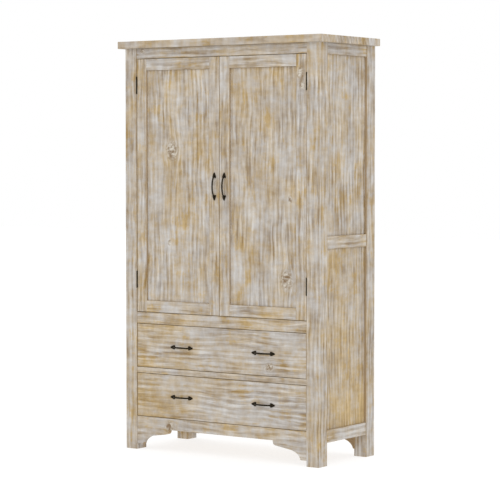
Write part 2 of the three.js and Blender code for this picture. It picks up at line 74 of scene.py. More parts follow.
# Four square posts of sawn pine carry the case. Each is wire-brushed, stained ochre,
# painted with thin white limewash and rubbed back, so the ochre shows along the grain.
# Rails are tenoned into them and their stubs are let into the top board.
MM = 0.001
LENGTH, WIDTH, DEPTH = 0, 1, 2
AXIS = {"x": 0, "y": 1, "z": 2}
ARRIS = 0.9 * MM
ARRIS_STEPS = 2
ARRIS_ANGLE = math.radians(40)
ARRIS_WANDER = 0.5 * MM
ARRIS_REACH = 1.2 * ARRIS
WAVES_PER_METRE = 22
ON_PLANE = 0.02 * MM
SHOULDER_SHARE = 0.4
EDGE_BAND = 6 * MM
BANDS_ACROSS = 4
SLICE = 26 * MM
KNOT_SLOTS = ("knot_a", "knot_b")
FAR_KNOT = (9.0, 9.0, 20 * MM)
KNOT_STRETCH = 1.35
FLAT_BOARD = 0.6
FLAT_DEPTH_SHARE = 0.35
EVEN_WASH = (0.0, 0.0)


def linear(hex_colour):
    """An sRGB hex colour as the linear red, green, blue and alpha that a shader takes."""
    channels = [int(hex_colour[i : i + 2], 16) / 255 for i in (1, 3, 5)]
    return [c / 12.92 if c <= 0.04045 else ((c + 0.055) / 1.055) ** 2.4 for c in channels] + [1]


def add_node(tree, kind, inputs, **settings):
    """Adds a shader node, sets its properties, and links or sets its inputs."""
    node = tree.nodes.new("ShaderNode" + kind)
    for key, value in settings.items():
        setattr(node, key, value)
    for socket, value in inputs.items():
        if isinstance(value, bpy.types.NodeSocket):
            tree.links.new(value, node.inputs[socket])
        else:
            node.inputs[socket].default_value = value
    return node


def new_material(name):
    """An empty node material: the material, its node tree and its Principled shader."""
    material = bpy.data.materials.new(name)
    material.use_nodes = True
    tree = material.node_tree
    tree.nodes.clear()
    shader = add_node(tree, "BsdfPrincipled", {})
    add_node(tree, "OutputMaterial", {"Surface": shader.outputs["BSDF"]})
    return material, tree, shader


def shared_planes(edge, low, high):
    """The sides of the board's box that both ends of an edge lie on."""
    sides = []
    for vertex in edge.verts:
        at_low = {(axis, -1) for axis in range(3) if vertex.co[axis] - low[axis] < ON_PLANE}
        at_high = {(axis, 1) for axis in range(3) if high[axis] - vertex.co[axis] < ON_PLANE}
        sides.append(at_low | at_high)
    return sides[0] & sides[1]


def ease_arrises(bm, low, high, sawn_axis):
    """Rounds a board's edges, and those of a sawn outline, but not a tenon's shoulders."""
    arrises = []
    for edge in bm.edges:
        if not edge.is_manifold or not edge.is_convex or edge.calc_face_angle() < ARRIS_ANGLE:
            continue
        planes = shared_planes(edge, low, high)
        sawn = any(axis == sawn_axis for axis, _ in planes)
        rise = abs((edge.verts[0].co - edge.verts[1].co).z)
        shoulder = rise > SHOULDER_SHARE * (high.z - low.z)
        if len(planes) >= 2 or (sawn and not shoulder):
            arrises.append(edge)
    bmesh.ops.bevel(
        bm,
        geom=arrises,
        offset=ARRIS,
        segments=ARRIS_STEPS,
        profile=0.5,
        affect="EDGES",
        clamp_overlap=False,
    )


def slice_board(bm, low, high, grain_axis, bands):
    """Cuts the faces across the grain, and at each of the bands in from the arrises."""
    cuts = []
    steps = max(1, round((high[grain_axis] - low[grain_axis]) / SLICE))
    for step in range(1, steps):
        place = low[grain_axis] + (high[grain_axis] - low[grain_axis]) * step / steps
        cuts.append((grain_axis, place))
    for axis in range(3):
        if high[axis] - low[axis] > BANDS_ACROSS * max(bands):
            cuts += [(axis, low[axis] + band) for band in bands]
            cuts += [(axis, high[axis] - band) for band in bands]
    for axis, place in cuts:
        point = Vector((0, 0, 0))
        point[axis] = place
        normal = Vector([float(i == axis) for i in range(3)])
        everything = bm.verts[:] + bm.edges[:] + bm.faces[:]
        bmesh.ops.bisect_plane(bm, geom=everything, plane_co=point, plane_no=normal, dist=1e-6)


def arris_distance(point, low, high):
    """How far a point on the board's skin is from its nearest arris."""
    return sorted(min(point[i] - low[i], high[i] - point[i]) for i in range(3))[1]


def wander_arrises(bm, low, high, seed):
    """Wears the arrises unevenly, always into the wood."""
    centre = (low + high) / 2
    for vertex in bm.verts:
        if arris_distance(vertex.co, low, high) > ARRIS_REACH:
            continue
        place = vertex.co * WAVES_PER_METRE + Vector((seed, 0, 0))
        wave = noise.noise(place) + 0.35 * noise.noise(place * 4)
        inward = ARRIS_WANDER * max(0, wave)
        for axis in range(3):
            near = min(vertex.co[axis] - low[axis], high[axis] - vertex.co[axis])
            if near < ARRIS_REACH:
                vertex.co[axis] -= math.copysign(inward, vertex.co[axis] - centre[axis])


def board_axes(grain, shown):
    """The axes that the board's length, width and depth lie along."""
    depth = AXIS[shown[1]]
    return AXIS[grain], 3 - AXIS[grain] - depth, depth


def fill_attribute(mesh, name, kind, domain, values):
    """Adds an attribute that the material reads, with one value to a point or a face."""
    key = "vector" if kind == "FLOAT_VECTOR" else "value"
    for item, value in zip(mesh.attributes.new(name, kind, domain).data, values):
        setattr(item, key, value)


def write_grain(mesh, low, high, axes, shown, seed, knots, tongue, leg_top, thin_wash):
    """Gives each point its place in the timber, and each face whether it is washed, or kept a darker
    brown that also paints shade.

    grain is the place along, across and through the board, in metres, in a plank of
    its own; each knot attribute is the way from that knot, in knot widths; wear is 1
    on an arris; groove_shade is 1 where a panel runs into its groove, for a painted
    shade line along its rim; thin is how much thinner the wash is there than on most;
    bare_and_shade is 1 on a face that the brush never reached, which is painted a
    darker brown that also stands for the shade in recesses and gaps.
    """
    size = high - low
    ways = [vertex.co - low for vertex in mesh.vertices]
    along, across, through = ([way[axis] for way in ways] for axis in axes)

    flat = size[axes[DEPTH]] < FLAT_BOARD * size[axes[WIDTH]]
    depth_share = FLAT_DEPTH_SHARE if flat else 1
    plank = Vector((seed % 7, seed % 11, seed % 13))
    grain = [plank + Vector((a, b, c * depth_share)) for a, b, c in zip(along, across, through)]
    fill_attribute(mesh, "grain", "FLOAT_VECTOR", "POINT", grain)

    reach = [arris_distance(vertex.co, low, high) for vertex in mesh.vertices]
    wear = [0 if tongue else max(0, 1 - distance / EDGE_BAND) for distance in reach]
    fill_attribute(mesh, "wear", "FLOAT", "POINT", wear)
    # A painted shade line darkens each panel next to its groove, fading over a band in from the frame.
    rims = [1 - (distance - tongue) / EDGE_BAND for distance in reach]
    groove_shade = [min(1, max(0, rim)) if tongue else 0 for rim in rims]
    fill_attribute(mesh, "groove_shade", "FLOAT", "POINT", groove_shade)

    length, width = size[axes[LENGTH]], size[axes[WIDTH]]
    for slot, (knot_along, knot_across, radius) in zip(KNOT_SLOTS, [*knots, FAR_KNOT, FAR_KNOT]):
        knot = [
            (
                (a - knot_along * length) / radius / KNOT_STRETCH,
                (b - knot_across * width) / radius,
                radius,
            )
            for a, b in zip(along, across)
        ]
        fill_attribute(mesh, slot, "FLOAT_VECTOR", "POINT", knot)

    start, end = thin_wash
    thin = [start + (end - start) * a / length for a in along]
    fill_attribute(mesh, "thin", "FLOAT", "POINT", thin)

    washed = [(AXIS[way], -1 if sign == "-" else 1) for sign, way in zip(shown[::2], shown[1::2])]
    # Faces that the brush never reached, above the legs, are marked to be painted a darker brown,
    # which also stands for the shade in recesses and gaps.
    bare_and_shade = []
    for face in mesh.polygons:
        hidden = all(sign * face.normal[axis] < 0.5 for axis, sign in washed)
        bare_and_shade.append(float(hidden and face.center.z > leg_top))
    fill_attribute(mesh, "bare_and_shade", "FLOAT", "FACE", bare_and_shade)


def dress(
    name,
    material,
    grain,
    shown,
    knots=(),
    tongue=0.0,
    sawn=False,
    leg_top=0.0,
    thin_wash=EVEN_WASH,
):
    """Puts a board with eased, worn arrises and its own grain in a CAD board's place.

    grain is the axis the grain runs along. shown lists the washed sides, the board's
    face first. knots are (along, across, radius), in shares of the board and metres.
    tongue is how deep a panel's edges stand in their grooves. sawn says that its face
    has a sawn outline. Below leg_top a post is a leg, washed all round. thin_wash is
    how much thinner the wash is at the start and at the end of the board's length.
    """
    source = frame["nodes"][name]
    low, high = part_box(name)
    # A board's name picks the plank that it is sawn from, so no two share their grain.
    seed = sum(ord(letter) * (i + 3) for i, letter in enumerate(name)) * 0.137
    axes = board_axes(grain, shown)
    bm = bmesh.new()
    bm.from_mesh(source.data)
    bmesh.ops.remove_doubles(bm, verts=bm.verts, dist=1e-6)
    bmesh.ops.dissolve_limit(bm, angle_limit=0.005, verts=bm.verts, edges=bm.edges)
    ease_arrises(bm, low, high, axes[DEPTH] if sawn else None)
    bands = [tongue, tongue + EDGE_BAND] if tongue else [EDGE_BAND]
    slice_board(bm, low, high, axes[LENGTH], bands)
    wander_arrises(bm, low, high, seed)
    mesh = bpy.data.meshes.new(name + "_dressed")
    bm.to_mesh(mesh)
    bm.free()
    write_grain(mesh, low, high, axes, shown, seed, knots, tongue, leg_top, thin_wash)
    mesh.materials.append(material)
    piece = bpy.data.objects.new(name + "_dressed", mesh)
    bpy.context.scene.collection.objects.link(piece)
    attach(piece, source["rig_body"])
    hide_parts(name)
    return piece


def timber_place(tree):
    """The place in the timber, with the grain wandering, and parting round knots.

    Returns that vector and how deep in a knot the point lies, from 0 to 1.
    """
    wander = 14 * MM
    waves_per_metre = (4.5, 6, 6)
    knot_push = 0.75
    plain = add_node(tree, "Attribute", {}, attribute_name="grain").outputs["Vector"]
    slow = add_node(tree, "VectorMath", {0: plain, 1: waves_per_metre}, operation="MULTIPLY")
    drift = add_node(tree, "TexNoise", {"Vector": slow.outputs[0], "Scale": 1, "Detail": 1.5})
    across = add_node(
        tree,
        "Math",
        {0: drift.outputs["Fac"], 1: 2 * wander, 2: -wander},
        operation="MULTIPLY_ADD",
    ).outputs[0]
    depth = None
    for slot in KNOT_SLOTS:
        knot = add_node(tree, "Attribute", {}, attribute_name=slot).outputs["Vector"]
        flat = add_node(tree, "VectorMath", {0: knot, 1: (1, 1, 0)}, operation="MULTIPLY")
        way = add_node(tree, "SeparateXYZ", {0: knot})
        square = add_node(
            tree, "VectorMath", {0: flat.outputs[0], 1: flat.outputs[0]}, operation="DOT_PRODUCT"
        )
        near = add_node(tree, "Math", {0: square.outputs["Value"], 1: -0.5}, operation="MULTIPLY")
        near = add_node(tree, "Math", {0: near.outputs[0]}, operation="EXPONENT").outputs[0]
        push = add_node(tree, "Math", {0: way.outputs["Y"], 1: way.outputs["Z"]}, operation="MULTIPLY")
        push = add_node(tree, "Math", {0: push.outputs[0], 1: near}, operation="MULTIPLY")
        across = add_node(
            tree, "Math", {0: push.outputs[0], 1: -knot_push, 2: across}, operation="MULTIPLY_ADD"
        ).outputs[0]
        if depth is None:
            depth = near
        else:
            depth = add_node(tree, "Math", {0: depth, 1: near}, operation="MAXIMUM").outputs[0]
    shift = add_node(tree, "CombineXYZ", {"Y": across})
    place = add_node(tree, "VectorMath", {0: plain, 1: shift.outputs[0]}, operation="ADD")
    return place.outputs[0], depth


def grain_noise(tree, place, length, width, detail, spread):
    """Noise drawn out along the grain, in marks of this length and width, as -1 to 1."""
    scale = (1 / length, 1 / width, 1 / width)
    scaled = add_node(tree, "VectorMath", {0: place, 1: scale}, operation="MULTIPLY")
    marks = add_node(
        tree,
        "TexNoise",
        {"Vector": scaled.outputs[0], "Scale": 1, "Detail": detail, "Roughness": 0.6},
    )
    low, high = 0.5 - spread, 0.5 + spread
    return add_node(
        tree,
        "MapRange",
        {"Value": marks.outputs["Fac"], "From Min": low, "From Max": high, "To Min": -1},
        clamp=False,
    ).outputs[0]


def weighted_sum(tree, start, terms):
    """start plus each of the (value, weight) terms."""
    total = start
    for value, weight in terms:
        add = add_node(tree, "Math", {0: value, 1: weight, 2: total}, operation="MULTIPLY_ADD")
        total = add.outputs[0]
    return total


# Limewashed pine, wire-brushed and nearly matt. The wash lies off-white and grey in the
# open grain, thins to tan, and is rubbed through to ochre in long streaks and soft
# patches. Pine's growth rings are 2 to 4 mm apart and its brush marks under 1 mm wide,
# too fine to show here, so they are drawn as soft bands 23 and 5.5 mm wide.
RING_SPACING = 23 * MM
RING_WAVER = 1.5
# A Mix node's colour sockets share their names with its others, so they go by number.
MIX_A, MIX_B, MIXED = 6, 7, 2


def growth_rings(tree, place, spacing, waver):
    """Rings cut by the board's face: -1 in the soft early wood, 1 at the hard late wood."""
    way = add_node(tree, "SeparateXYZ", {0: place})
    across = add_node(tree, "Math", {0: way.outputs["Y"], 1: way.outputs["Z"]}, operation="ADD")
    turn = 2 * math.pi / spacing
    phase = add_node(tree, "Math", {0: across.outputs[0], 1: turn}, operation="MULTIPLY")
    phase = weighted_sum(tree, phase.outputs[0], [(waver, RING_WAVER)])
    return add_node(tree, "Math", {0: phase}, operation="SINE").outputs[0]


limewashed_pine, tree, shader = new_material("limewashed_pine")
place, in_knot = timber_place(tree)
waver = grain_noise(tree, place, 380 * MM, 40 * MM, 2, 0.2)
rings = growth_rings(tree, place, RING_SPACING, waver)
streaks = grain_noise(tree, place, 130 * MM, 12 * MM, 3, 0.18)
fibres = grain_noise(tree, place, 90 * MM, 5.5 * MM, 2, 0.2)
patches = grain_noise(tree, place, 180 * MM, 110 * MM, 6, 0.16)
blotches = grain_noise(tree, place, 34 * MM, 50 * MM, 5, 0.18)
sanding = grain_noise(tree, place, 14 * MM, 60 * MM, 2, 0.2)
shade = grain_noise(tree, place, 150 * MM, 17 * MM, 3, 0.2)
dirt = grain_noise(tree, place, 190 * MM, 110 * MM, 6, 0.16)
wear = add_node(tree, "Attribute", {}, attribute_name="wear").outputs["Fac"]
groove_shade = add_node(tree, "Attribute", {}, attribute_name="groove_shade").outputs["Fac"]
thin = add_node(tree, "Attribute", {}, attribute_name="thin").outputs["Fac"]
bare_and_shade = add_node(tree, "Attribute", {}, attribute_name="bare_and_shade").outputs["Fac"]

# The streaks are strongest where a whole patch is rubbed thin.
gate = add_node(
    tree,
    "MapRange",
    {"Value": patches, "From Min": -0.7, "From Max": 0.9, "To Min": 0.35, "To Max": 1.2},
).outputs[0]
gated = add_node(tree, "Math", {0: streaks, 1: gate}, operation="MULTIPLY").outputs[0]
rubbed = weighted_sum(
    tree,
    0.34,
    (
        (patches, 0.35),
        (gated, 0.26),
        (blotches, 0.18),
        (rings, 0.07),
        (sanding, 0.08),
        (wear, 0.15),
        (thin, 1.0),
    ),
)
# Here and there it is rubbed right through, in patches that break up along the grain.
through = grain_noise(tree, place, 100 * MM, 75 * MM, 5, 0.17)
through = weighted_sum(tree, 0.0, ((through, 1.0), (streaks, 0.45), (sanding, 0.2)))
through = add_node(tree, "MapRange", {"Value": through, "From Min": 0.5, "From Max": 1.0}).outputs[0]
rubbed = weighted_sum(tree, rubbed, [(through, 0.36)])
rubbed = add_node(tree, "MapRange", {"Value": rubbed}).outputs[0]
# Where the wash was laid thick the grain is veiled; elsewhere it stands out in full.
thick_wash = grain_noise(tree, place, 210 * MM, 120 * MM, 3, 0.15)
clear = add_node(
    tree,
    "MapRange",
    {"Value": thick_wash, "From Min": -0.8, "From Max": 0.8, "To Min": 1.45, "To Max": 0.45},
).outputs[0]
figure = weighted_sum(tree, 0.0, ((rings, -0.125), (shade, 0.225), (fibres, 0.2)))
figure = add_node(tree, "Math", {0: figure, 1: clear}, operation="MULTIPLY").outputs[0]
tone = weighted_sum(
    tree,
    0.675,
    (
        (figure, 1.0),
        (clear, -0.15),
        (gated, -0.12),
        (dirt, 0.18),
        (sanding, 0.08),
        (blotches, -0.1),
    ),
)
tone = add_node(tree, "MapRange", {"Value": tone}).outputs[0]
wash = add_node(
    tree, "Mix", {0: tone, MIX_A: linear("#94897E"), MIX_B: linear("#CCC9C5")}, data_type="RGBA"
).outputs[MIXED]
stain = add_node(
    tree, "Mix", {0: tone, MIX_A: linear("#8A6E3D"), MIX_B: linear("#C6AC7C")}, data_type="RGBA"
).outputs[MIXED]
surface = add_node(
    tree, "Mix", {0: rubbed, MIX_A: wash, MIX_B: stain}, data_type="RGBA"
).outputs[MIXED]
# Knots lie as brown and cream swirls, ragged where they meet the straight grain.
swirl = grain_noise(tree, place, 11 * MM, 7 * MM, 5, 0.14)
swirl = add_node(tree, "MapRange", {"Value": swirl, "From Min": -0.7, "From Max": 1.0}).outputs[0]
knot_wood = add_node(
    tree, "Mix", {0: swirl, MIX_A: linear("#7D6547"), MIX_B: linear("#CCC5B8")}, data_type="RGBA"
).outputs[MIXED]
ragged = weighted_sum(tree, in_knot, [(blotches, 0.12), (fibres, 0.06)])
knot_share = add_node(tree, "MapRange", {"Value": ragged, "From Min": 0.25, "From Max": 0.8})
surface = add_node(
    tree, "Mix", {0: knot_share.outputs[0], MIX_A: surface, MIX_B: knot_wood}, data_type="RGBA"
).outputs[MIXED]
# Painted shade darkens a thin band round each panel where it runs into its groove.
groove_shading = add_node(tree, "Math", {0: groove_shade, 1: 0.2}, operation="MULTIPLY").outputs[0]
surface = add_node(
    tree, "Mix", {0: groove_shading, MIX_A: surface, MIX_B: linear("#7D6A50")}, data_type="RGBA"
).outputs[MIXED]
# Faces inside the case, which the wash never reached, keep their stain: a darker brown that also
# paints the shade in recess walls and gaps.
unwashed_and_shade = add_node(tree, "Math", {0: bare_and_shade, 1: 0.8}, operation="MULTIPLY").outputs[0]
surface = add_node(
    tree, "Mix", {0: unwashed_and_shade, MIX_A: surface, MIX_B: linear("#A58A63")}, data_type="RGBA"
).outputs[MIXED]
matt = add_node(tree, "MapRange", {"Value": rubbed, "To Min": 0.8, "To Max": 0.6}).outputs[0]
relief = weighted_sum(tree, 0.5, ((rings, 0.15), (fibres, 0.2), (streaks, 0.1)))
bump = add_node(tree, "Bump", {"Height": relief, "Strength": 0.5, "Distance": 0.6 * MM})
tree.links.new(surface, shader.inputs["Base Color"])
tree.links.new(matt, shader.inputs["Roughness"])
tree.links.new(bump.outputs[0], shader.inputs["Normal"])

for depth_side, depth_face in (("front", "-y"), ("rear", "+y")):
    for width_side, width_face in (("left", "-x"), ("right", "+x")):
        dress(
            f"post_{depth_side}_{width_side}",
            limewashed_pine,
            grain="z",
            shown=depth_face + width_face + "-z",
            leg_top=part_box("side_lower_panel_" + width_side)[0].z,
        )

# Four limewashed pine rails run across the front, tenoned into the posts: the header
# under the top, the waist rail between doors and drawers, the divider between drawers,
# and the apron, whose lower edge is sawn to a curved bracket at each end.
FRONT_RAIL_KNOTS = {
    "header_rail": [(0.055, 0.72, 9 * MM)],
    "front_apron": [(0.215, 0.70, 17 * MM)],
}
for name in ("header_rail", "waist_rail", "drawer_divider"):
    dress(name, limewashed_pine, "x", "-y", FRONT_RAIL_KNOTS.get(name, ()))
apron_knots = FRONT_RAIL_KNOTS["front_apron"]
dress("front_apron", limewashed_pine, "x", "-y-z", apron_knots, sawn=True)

# Each side is framed by three straight, limewashed pine rails tenoned into the posts.
# Two thin pine panels stand in grooves between them. The lower panel's wash is rubbed
# further back than the rest of the case.
PANEL_TONGUE = 8 * MM
SIDE_PANEL_WASH = {"upper": EVEN_WASH, "lower": (0.34, 0.22)}
for width_side, face in (("left", "-x"), ("right", "+x")):
    for level in ("top", "mid"):
        dress(f"side_{level}_rail_{width_side}", limewashed_pine, "y", face)
    dress(f"side_bottom_rail_{width_side}", limewashed_pine, "y", face + "-z")
    for level in ("upper", "lower"):
        dress(
            f"side_{level}_panel_{width_side}",
            limewashed_pine,
            "z",
            face,
            tongue=PANEL_TONGUE,
            thin_wash=SIDE_PANEL_WASH[level],
        )

# The top is one wide pine board, limewashed on every side. It is let down over stubs on
# the posts and overhangs the front and both sides.
dress("top_board", limewashed_pine, "x", "+z-y+x-x+y-z")

# The back has a pine top rail and an apron sawn like the front's, both limewashed and
# tenoned into the rear posts. A thin plywood panel with pine faces is grooved into them
# and left bare, since it faces the wall.
dress("back_top_rail", limewashed_pine, "x", "+y")
dress("back_apron", limewashed_pine, "x", "+y-z", sawn=True)

# Pine, sawn and sanded, with no finish: pale straw with tan growth lines, nearly matt.
# Its lines and pores are finer than shows here, so they are drawn 9 and 2.5 mm wide.
sanded_pine, tree, shader = new_material("sanded_pine")
place, _ = timber_place(tree)
rings = grain_noise(tree, place, 260 * MM, 9 * MM, 2, 0.2)
pores = grain_noise(tree, place, 40 * MM, 2.5 * MM, 2, 0.2)
shade = grain_noise(tree, place, 300 * MM, 90 * MM, 1, 0.2)
tone = weighted_sum(tree, 0.5, ((rings, 0.28), (pores, 0.1), (shade, 0.15)))
straw = add_node(
    tree, "Mix", {0: tone, MIX_A: linear("#A9865A"), MIX_B: linear("#CDB48B")}, data_type="RGBA"
).outputs[MIXED]
bump = add_node(tree, "Bump", {"Height": pores, "Strength": 0.2, "Distance": 0.2 * MM})
tree.links.new(straw, shader.inputs["Base Color"])
shader.inputs["Roughness"].default_value = 0.65
tree.links.new(bump.outputs[0], shader.inputs["Normal"])

dress("back_panel", sanded_pine, "z", "+y-y")

# Inside, bare sanded pine is enough. The cupboard has a floor and one fixed shelf, and
# under each drawer lies a web frame of two runners, two guides and a rear rail.
for name in ("cupboard_floor", "shelf", "drawer_web_frame_lower", "drawer_web_frame_upper"):
    dress(name, sanded_pine, "x", "+z-z")

# Each door is two pine stiles and two rails, mortised and tenoned round a wide thin
# panel that stands in their grooves, back from their face. All of it is limewashed.
# The doors close flush between the posts.
DOOR_PANEL_KNOTS = {
    "left": [(0.65, 0.40, 24 * MM), (0.26, 0.36, 8 * MM)],
    "right": [(0.12, 0.83, 24 * MM), (0.45, 0.88, 8 * MM)],
}
DOOR_PANEL_WASH = {"left": (-0.14, 0.06), "right": (-0.06, 0.16)}
HINGE_STILE_KNOTS = {"left": [], "right": [(0.93, 0.4, 14 * MM), (0.88, 0.6, 9 * MM)]}
for side in ("left", "right"):
    stile_knots = HINGE_STILE_KNOTS[side]
    dress(f"door_{side}_hinge_stile", limewashed_pine, "z", "-y+y", stile_knots)
    dress(f"door_{side}_meeting_stile", limewashed_pine, "z", "-y+y")
    for level in ("top", "bottom"):
        dress(f"door_{side}_{level}_rail", limewashed_pine, "x", "-y+y")
    dress(
        f"door_{side}_panel",
        limewashed_pine,
        "z",
        "-y+y",
        DOOR_PANEL_KNOTS[side],
        tongue=PANEL_TONGUE,
        thin_wash=DOOR_PANEL_WASH[side],
    )

# Two pine drawers fill the base. Each has a limewashed front, flush with the rails, on a
# sanded box of sides and back, with a thin bottom grooved in. It runs on its web frame,
# between wooden guides.
DRAWER_FRONT_KNOTS = {"upper": [(0.79, 0.19, 15 * MM)], "lower": []}
DRAWER_FRONT_WASH = {"upper": (0.15, -0.15), "lower": (0.3, -0.25)}
for level in ("upper", "lower"):
    dress(
        f"drawer_{level}_front",
        limewashed_pine,
        "x",
        "-y",
        DRAWER_FRONT_KNOTS[level],
        thin_wash=DRAWER_FRONT_WASH[level],
    )
    for side in ("left", "right"):
        dress(f"drawer_{level}_side_{side}", sanded_pine, "y", "+x-x")
    dress(f"drawer_{level}_back", sanded_pine, "x", "+y-y")
    dress(f"drawer_{level}_bottom", sanded_pine, "x", "+z-z")

# Butt hinges of blackened iron hang the doors. Their leaves are let into post and
# stile, so only the knuckles show, as short bars in the gap, with a pin through them.
# Blackened iron, forged and waxed: near-black, with a soft brown sheen on the crowns.
HAMMER_MARK = 5 * MM
blackened_iron, tree, shader = new_material("blackened_iron")
solid_place = add_node(tree, "TexCoord", {}).outputs["Object"]
scale_marks = add_node(
    tree,
    "TexNoise",
    {"Vector": solid_place, "Scale": 1 / HAMMER_MARK, "Detail": 4, "Roughness": 0.6},
)
marks = scale_marks.outputs["Fac"]
dark = add_node(
    tree, "Mix", {0: marks, MIX_A: linear("#100D07"), MIX_B: linear("#372E1D")}, data_type="RGBA"
).outputs[MIXED]
sheen = add_node(tree, "MapRange", {"Value": marks, "To Min": 0.35, "To Max": 0.6})
hammered = add_node(tree, "Bump", {"Height": marks, "Strength": 0.35, "Distance": 0.4 * MM})
tree.links.new(dark, shader.inputs["Base Color"])
tree.links.new(sheen.outputs[0], shader.inputs["Roughness"])
tree.links.new(hammered.outputs[0], shader.inputs["Normal"])
shader.inputs["Metallic"].default_value = 0.85

SCREW_STEPS = 20
DOME_RINGS = 5
SLOT_HALF_WIDTH = 0.45 * MM
SLOT_FLOOR = 0.35


def add_screw(bm, centre, outward, radius, height, slot_turn):
    """Adds a slotted, domed screw head that stands on centre and faces outward."""
    head = bmesh.new()
    rings = []
    for ring in range(DOME_RINGS):
        lift = math.radians(90 * ring / DOME_RINGS)
        level = [
            head.verts.new(
                (
                    radius * math.cos(lift) * math.cos(2 * math.pi * step / SCREW_STEPS),
                    radius * math.cos(lift) * math.sin(2 * math.pi * step / SCREW_STEPS),
                    height * math.sin(lift),
                )
            )
            for step in range(SCREW_STEPS)
        ]
        rings.append(level)
    for lower, upper in zip(rings, rings[1:]):
        for step in range(SCREW_STEPS):
            after = (step + 1) % SCREW_STEPS
            head.faces.new((lower[step], lower[after], upper[after], upper[step]))
    head.faces.new(rings[-1])
    head.faces.new(list(reversed(rings[0])))
    for side in (-1.15, -1, 1, 1.15):
        everything = head.verts[:] + head.edges[:] + head.faces[:]
        point = (0, side * SLOT_HALF_WIDTH, 0)
        bmesh.ops.bisect_plane(head, geom=everything, plane_co=point, plane_no=(0, 1, 0), dist=1e-7)
    for vertex in head.verts:
        if abs(vertex.co.y) <= 1.01 * SLOT_HALF_WIDTH and vertex.co.z > SLOT_FLOOR * height:
            vertex.co.z = SLOT_FLOOR * height
    turn = Vector(outward).to_track_quat("Z", "Y").to_matrix().to_4x4()
    turn = Matrix.Translation(centre) @ turn @ Matrix.Rotation(slot_turn, 4, "Z")
    head.transform(turn)
    part = bpy.data.meshes.new("screw_head")
    head.to_mesh(part)
    head.free()
    bm.from_mesh(part)
    bpy.data.meshes.remove(part)


def finish_iron(bm, name, body):
    """Makes an iron piece of the mesh, smooth but for its crisp edges."""
    mesh = bpy.data.meshes.new(name)
    bmesh.ops.recalc_face_normals(bm, faces=bm.faces)
    for face in bm.faces:
        face.smooth = True
    for edge in bm.edges:
        edge.smooth = edge.is_manifold and edge.calc_face_angle() < math.radians(35)
    bm.to_mesh(mesh)
    bm.free()
    mesh.materials.append(blackened_iron)
    piece = bpy.data.objects.new(name, mesh)
    bpy.context.scene.collection.objects.link(piece)
    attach(piece, body)
    return piece


for name, node in frame["nodes"].items():
    if name.startswith("hinge_"):
        node.data.materials.clear()
        node.data.materials.append(blackened_iron)

# A magnetic catch behind the header holds each door shut. Its blackened iron block is
# fixed to the rail's back, and its nose, below the rail, meets a thin iron strike on
# the back of the door's meeting stile.
CATCH_WIDTH = 30 * MM
CATCH_FROM_MIDDLE = 30 * MM
CATCH_DEPTH = 13 * MM
CATCH_ABOVE = 16 * MM
NOSE_HEIGHT = 19 * MM
STRIKE_THICK = 1.1 * MM
STRIKE_MARGIN = 3 * MM
FIT = 0.3 * MM


def add_bar(bm, profile, middle, width):
    """Adds a bar along x of this (y, z) profile."""
    ends = []
    for x in (middle - width / 2, middle + width / 2):
        ends.append([bm.verts.new((x, y, z)) for y, z in profile])
        bm.faces.new(ends[-1])
    for i in range(len(profile)):
        bm.faces.new((ends[0][i - 1], ends[0][i], ends[1][i], ends[1][i - 1]))


header_low, header_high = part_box("header_rail")
for side, sign in (("left", -1), ("right", 1)):
    door_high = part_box(f"door_{side}_meeting_stile")[1]
    middle = sign * CATCH_FROM_MIDDLE
    nose_front = door_high.y + STRIKE_THICK + 2 * FIT
    nose_top = door_high.z - 2 * FIT
    back = header_high.y + FIT
    profile = [
        (nose_front, nose_top - NOSE_HEIGHT),
        (back + CATCH_DEPTH, nose_top - NOSE_HEIGHT),
        (back + CATCH_DEPTH, header_low.z + CATCH_ABOVE),
        (back, header_low.z + CATCH_ABOVE),
        (back, nose_top),
        (nose_front, nose_top),
    ]
    bm = bmesh.new()
    add_bar(bm, profile, middle, CATCH_WIDTH)
    finish_iron(bm, f"door_{side}_catch", frame["nodes"]["header_rail"]["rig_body"])
    strike_top = nose_top - STRIKE_MARGIN
    strike_foot = nose_top - NOSE_HEIGHT + STRIKE_MARGIN
    strike_front = door_high.y + FIT / 3
    profile = [
        (strike_front, strike_foot),
        (strike_front + STRIKE_THICK, strike_foot),
        (strike_front + STRIKE_THICK, strike_top),
        (strike_front, strike_top),
    ]
    bm = bmesh.new()
    add_bar(bm, profile, middle, CATCH_WIDTH - 2 * STRIKE_MARGIN)
    finish_iron(bm, f"door_{side}_strike", frame["nodes"][f"door_{side}_meeting_stile"]["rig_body"])

# Bow pulls of forged iron, one to a door and two to a drawer. A flat spade at each end
# lies on the wood under a domed screw, and the bow springs out of one into the other.
SPADE_LENGTH = 24 * MM
SPADE_THICK = 2.4 * MM
SPADE_TIP = 3.4 * MM
SPADE_CHEEK = 7.6 * MM
LOBE_RADIUS = 4.6 * MM
SPADE_EDGE = 0.7 * MM
BAR_WIDTH = 7.4 * MM
BAR_THICK = 5.6 * MM
BAR_SIDES = 20
BAR_STEPS = 48
BAR_WAIST = 0.84
BOW_FULLNESS = 0.7
LOBE_STEPS = 12
CHEEK_STEPS = 10
TIP_STEPS = 6
PULL_SCREW_RADIUS = 2.4 * MM
PULL_SCREW_HEIGHT = 1.3 * MM
SCREW_PLACE = 0.32
SLOT_TURN = 0.7


